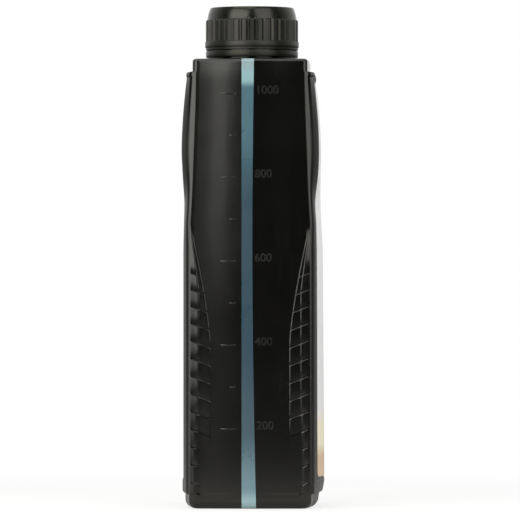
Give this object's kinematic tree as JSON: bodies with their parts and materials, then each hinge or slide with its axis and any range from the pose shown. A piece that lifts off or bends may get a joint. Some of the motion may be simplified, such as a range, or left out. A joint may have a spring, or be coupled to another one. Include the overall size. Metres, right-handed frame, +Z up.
{
  "type": "motor oil bottle",
  "caption": "Blow moulded oil bottle with a level strip down one narrow side, ribbed grip pads, a screw cap that turns and lifts, a tamper band and a front label.",
  "frame": {"origin": "middle of the bounding box, on the surface that the bottle stands on", "axes": "+Z up along the neck, the narrow side with the level strip faces -X, the front label faces -Y"},
  "size_m": [0.0822, 0.0672, 0.242],
  "materials": {
    "bottle_black": "satin black blow moulded polyethylene",
    "strip_natural": "translucent blue-grey polyethylene",
    "label_film": "printed film, silver-white fading to orange at the foot",
    "cap_black": "satin black moulded polypropylene",
    "liner_foam": "pale foamed wad",
    "band_black": "satin black moulded polypropylene"
  },
  "bodies": {
    "bottle": {"bottle": "bottle_black", "sight_strip": "strip_natural", "front_label": "label_film", "tamper_band": "band_black"},
    "liner": {"cap_liner": "liner_foam"},
    "cap": {"cap": "cap_black"}
  },
  "joints": [
    {"name": "cap_lift", "type": "slide", "parent": "bottle", "child": "liner", "axis": [0, 0, 1], "range_m": [0, 0.0225]},
    {"name": "cap_turn", "type": "hinge", "parent": "liner", "child": "cap", "pos_m": [0, 0, 0.23], "axis": [0, 0, 1], "range_deg": [0, 1620]}
  ],
  "couplings": [
    {"joint": "cap_lift", "follows": "cap_turn", "m_per_rad": 0.00079577}
  ]
}
